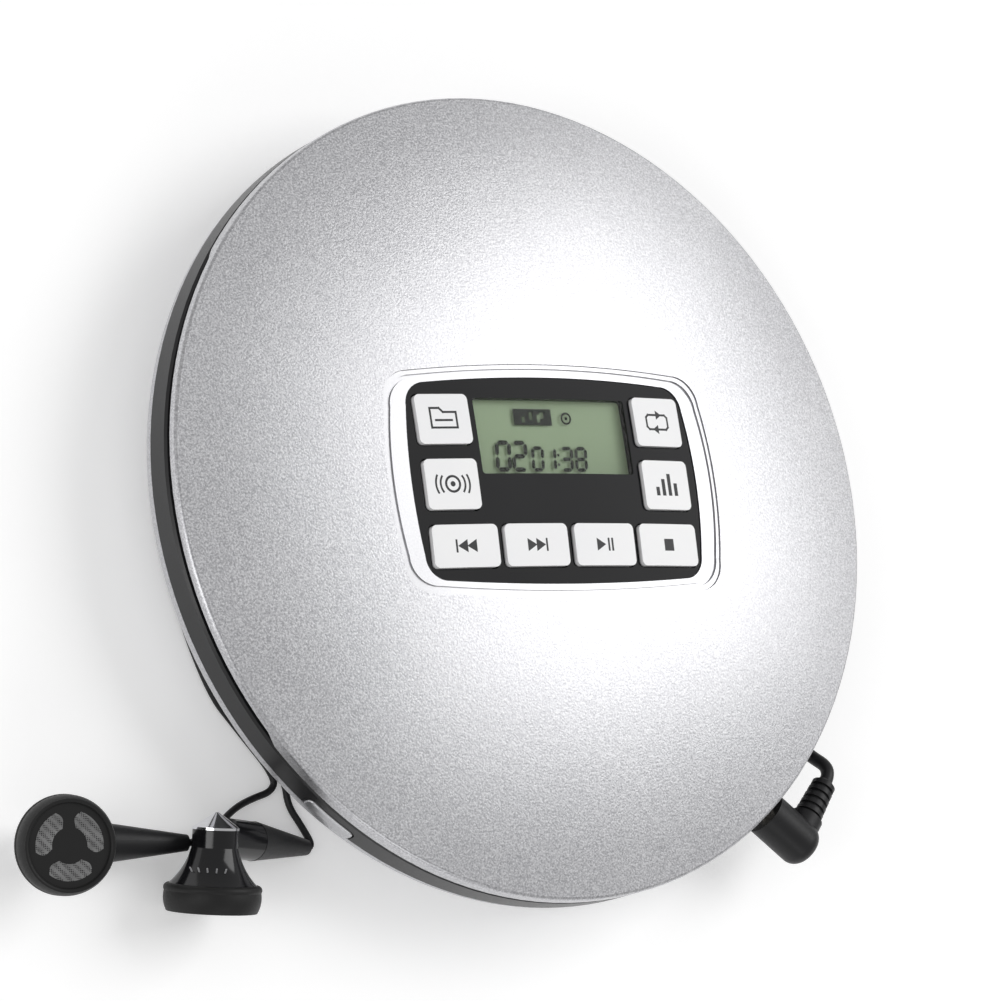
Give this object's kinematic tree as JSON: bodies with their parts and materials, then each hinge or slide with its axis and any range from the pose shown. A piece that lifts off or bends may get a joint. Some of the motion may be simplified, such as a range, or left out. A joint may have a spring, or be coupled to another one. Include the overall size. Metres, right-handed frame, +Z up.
{
  "type": "portable cd player",
  "caption": "Round portable disc player with hinged domed lid, display and keys, rim controls, disc mechanism and plugged-in earbuds on a split cord.",
  "frame": {"origin": "centre of the bottom of the player's bounding box without its cord: on the table, under the disc's axis", "axes": "+Z up along the disc's axis, out through the lid; +Y from the middle towards the lid's hinge; +X to the right as the keys are read"},
  "size_m": [0.1852, 0.142, 0.0279],
  "materials": {
    "silver_lid": "satin silver metallic paint",
    "silver_shell": "satin silver metallic paint",
    "silver_trim": "bright silver plating",
    "black_ring": "satin black",
    "black_gloss": "high gloss",
    "deck_grey": "fine texture",
    "key_white": "glossy white",
    "lcd_clear": "clear window",
    "lcd_cell": "reflective green-grey display",
    "circuit_board": "green lacquer",
    "rubber_black": "soft matt",
    "steel": "machined",
    "motor_can": "plated",
    "gear_white": "moulded acetal",
    "lens": "coated lens",
    "spring_brass": "nickel-plated spring",
    "cell_wrap": "plain wrapped can",
    "chrome_cap": "polished",
    "plug_metal": "polished",
    "cord_black": "satin sheath",
    "bud_black": "glossy black",
    "plug_black": "satin moulded"
  },
  "bodies": {
    "base": {"bottom_shell": "silver_shell", "side_ring": "black_ring", "top_deck": "deck_grey", "rubber_feet": "rubber_black", "case_screws": "steel", "hinge_pins": "steel", "battery_cells": "cell_wrap", "battery_contacts": "spring_brass", "chassis_plate": "steel", "chassis_dampers": "rubber_black", "guide_rods": "steel", "spindle_motor": "motor_can", "sled_motor": "motor_can", "main_board": "circuit_board", "headphone_socket": "black_gloss", "line_out_socket": "black_gloss", "charge_socket": "steel", "volume_pot": "black_ring", "plug_body": "plug_black", "plug_tip": "plug_metal", "strain_relief": "cord_black", "main_cord": "cord_black", "y_splitter": "plug_black", "branch_cord_left": "cord_black", "branch_cord_right": "cord_black", "earbud_housing_left": "bud_black", "earbud_sleeve_left": "plug_black", "earbud_cushion_left": "rubber_black", "earbud_cap_left": "chrome_cap", "earbud_housing_right": "bud_black", "earbud_sleeve_right": "plug_black", "earbud_cushion_right": "rubber_black", "earbud_cap_right": "chrome_cap"},
    "lid": {"lid_shell": "silver_lid", "lid_liner": "deck_grey", "lid_screws": "steel", "bezel_frame": "silver_trim", "control_panel": "black_gloss", "lcd_window": "lcd_clear", "lcd_module": "lcd_cell", "key_board": "circuit_board", "key_pad": "rubber_black"},
    "turntable": {"turntable_hub": "black_ring", "hub_balls": "steel"},
    "sled": {"pickup_sled": "black_ring", "pickup_lens": "lens"},
    "gear": {"drive_gear": "gear_white"},
    "pinion": {"motor_pinion": "spring_brass"},
    "open_button": {"open_button": "silver_trim"},
    "hold_switch": {"hold_knob": "silver_trim"},
    "volume": {"volume_wheel": "black_ring"},
    "battery_cover": {"battery_door": "silver_shell"},
    "key_folder": {"key_folder": "key_white"},
    "key_skip_guard": {"key_skip_guard": "key_white"},
    "key_mode": {"key_mode": "key_white"},
    "key_sound": {"key_sound": "key_white"},
    "key_back": {"key_back": "key_white"},
    "key_forward": {"key_forward": "key_white"},
    "key_play": {"key_play": "key_white"},
    "key_stop": {"key_stop": "key_white"}
  },
  "joints": [
    {"name": "lid_hinge", "type": "hinge", "parent": "base", "child": "lid", "pos_m": [0, 0.0682, 0.0142], "axis": [-1, 0, 0], "range_deg": [0, 75]},
    {"name": "disc_spin", "type": "hinge", "parent": "base", "child": "turntable", "pos_m": [0, 0, 0.012], "axis": [0, 0, 1], "continuous": true},
    {"name": "sled_slide", "type": "slide", "parent": "base", "child": "sled", "axis": [0, -1, 0], "range_m": [0, 0.032]},
    {"name": "gear_turn", "type": "hinge", "parent": "base", "child": "gear", "pos_m": [0.02255, -0.03, 0.009], "axis": [0, 0, 1], "range_deg": [-10, 470]},
    {"name": "pinion_turn", "type": "hinge", "parent": "base", "child": "pinion", "pos_m": [0.0341, -0.03, 0.009], "axis": [0, 0, 1], "range_deg": [-1850, 10]},
    {"name": "open_press", "type": "slide", "parent": "base", "child": "open_button", "axis": [0.6468, 0.7627, 0], "range_m": [0, 0.0015], "stiffness_N_per_m": 350},
    {"name": "hold_slide", "type": "slide", "parent": "base", "child": "hold_switch", "axis": [-0.1564, 0.9877, 0], "range_m": [0, 0.003]},
    {"name": "volume_turn", "type": "hinge", "parent": "base", "child": "volume", "pos_m": [0.05851, 0.02854, 0.0136], "axis": [0, 0, 1], "range_deg": [0, 270]},
    {"name": "battery_hinge", "type": "hinge", "parent": "base", "child": "battery_cover", "pos_m": [0, 0.0144, 0.0021], "axis": [-1, 0, 0], "range_deg": [0, 80]},
    {"name": "key_folder_press", "type": "slide", "parent": "lid", "child": "key_folder", "axis": [0, 0, -1], "range_m": [0, 0.0006], "stiffness_N_per_m": 300},
    {"name": "key_skip_guard_press", "type": "slide", "parent": "lid", "child": "key_skip_guard", "axis": [0, 0, -1], "range_m": [0, 0.0006], "stiffness_N_per_m": 300},
    {"name": "key_mode_press", "type": "slide", "parent": "lid", "child": "key_mode", "axis": [0, 0, -1], "range_m": [0, 0.0006], "stiffness_N_per_m": 300},
    {"name": "key_sound_press", "type": "slide", "parent": "lid", "child": "key_sound", "axis": [0, 0, -1], "range_m": [0, 0.0006], "stiffness_N_per_m": 300},
    {"name": "key_back_press", "type": "slide", "parent": "lid", "child": "key_back", "axis": [0, 0, -1], "range_m": [0, 0.0006], "stiffness_N_per_m": 300},
    {"name": "key_forward_press", "type": "slide", "parent": "lid", "child": "key_forward", "axis": [0, 0, -1], "range_m": [0, 0.0006], "stiffness_N_per_m": 300},
    {"name": "key_play_press", "type": "slide", "parent": "lid", "child": "key_play", "axis": [0, 0, -1], "range_m": [0, 0.0006], "stiffness_N_per_m": 300},
    {"name": "key_stop_press", "type": "slide", "parent": "lid", "child": "key_stop", "axis": [0, 0, -1], "range_m": [0, 0.0006], "stiffness_N_per_m": 300}
  ],
  "couplings": [
    {"joint": "gear_turn", "follows": "sled_slide", "rad_per_m": 250},
    {"joint": "pinion_turn", "follows": "sled_slide", "rad_per_m": -1000}
  ]
}
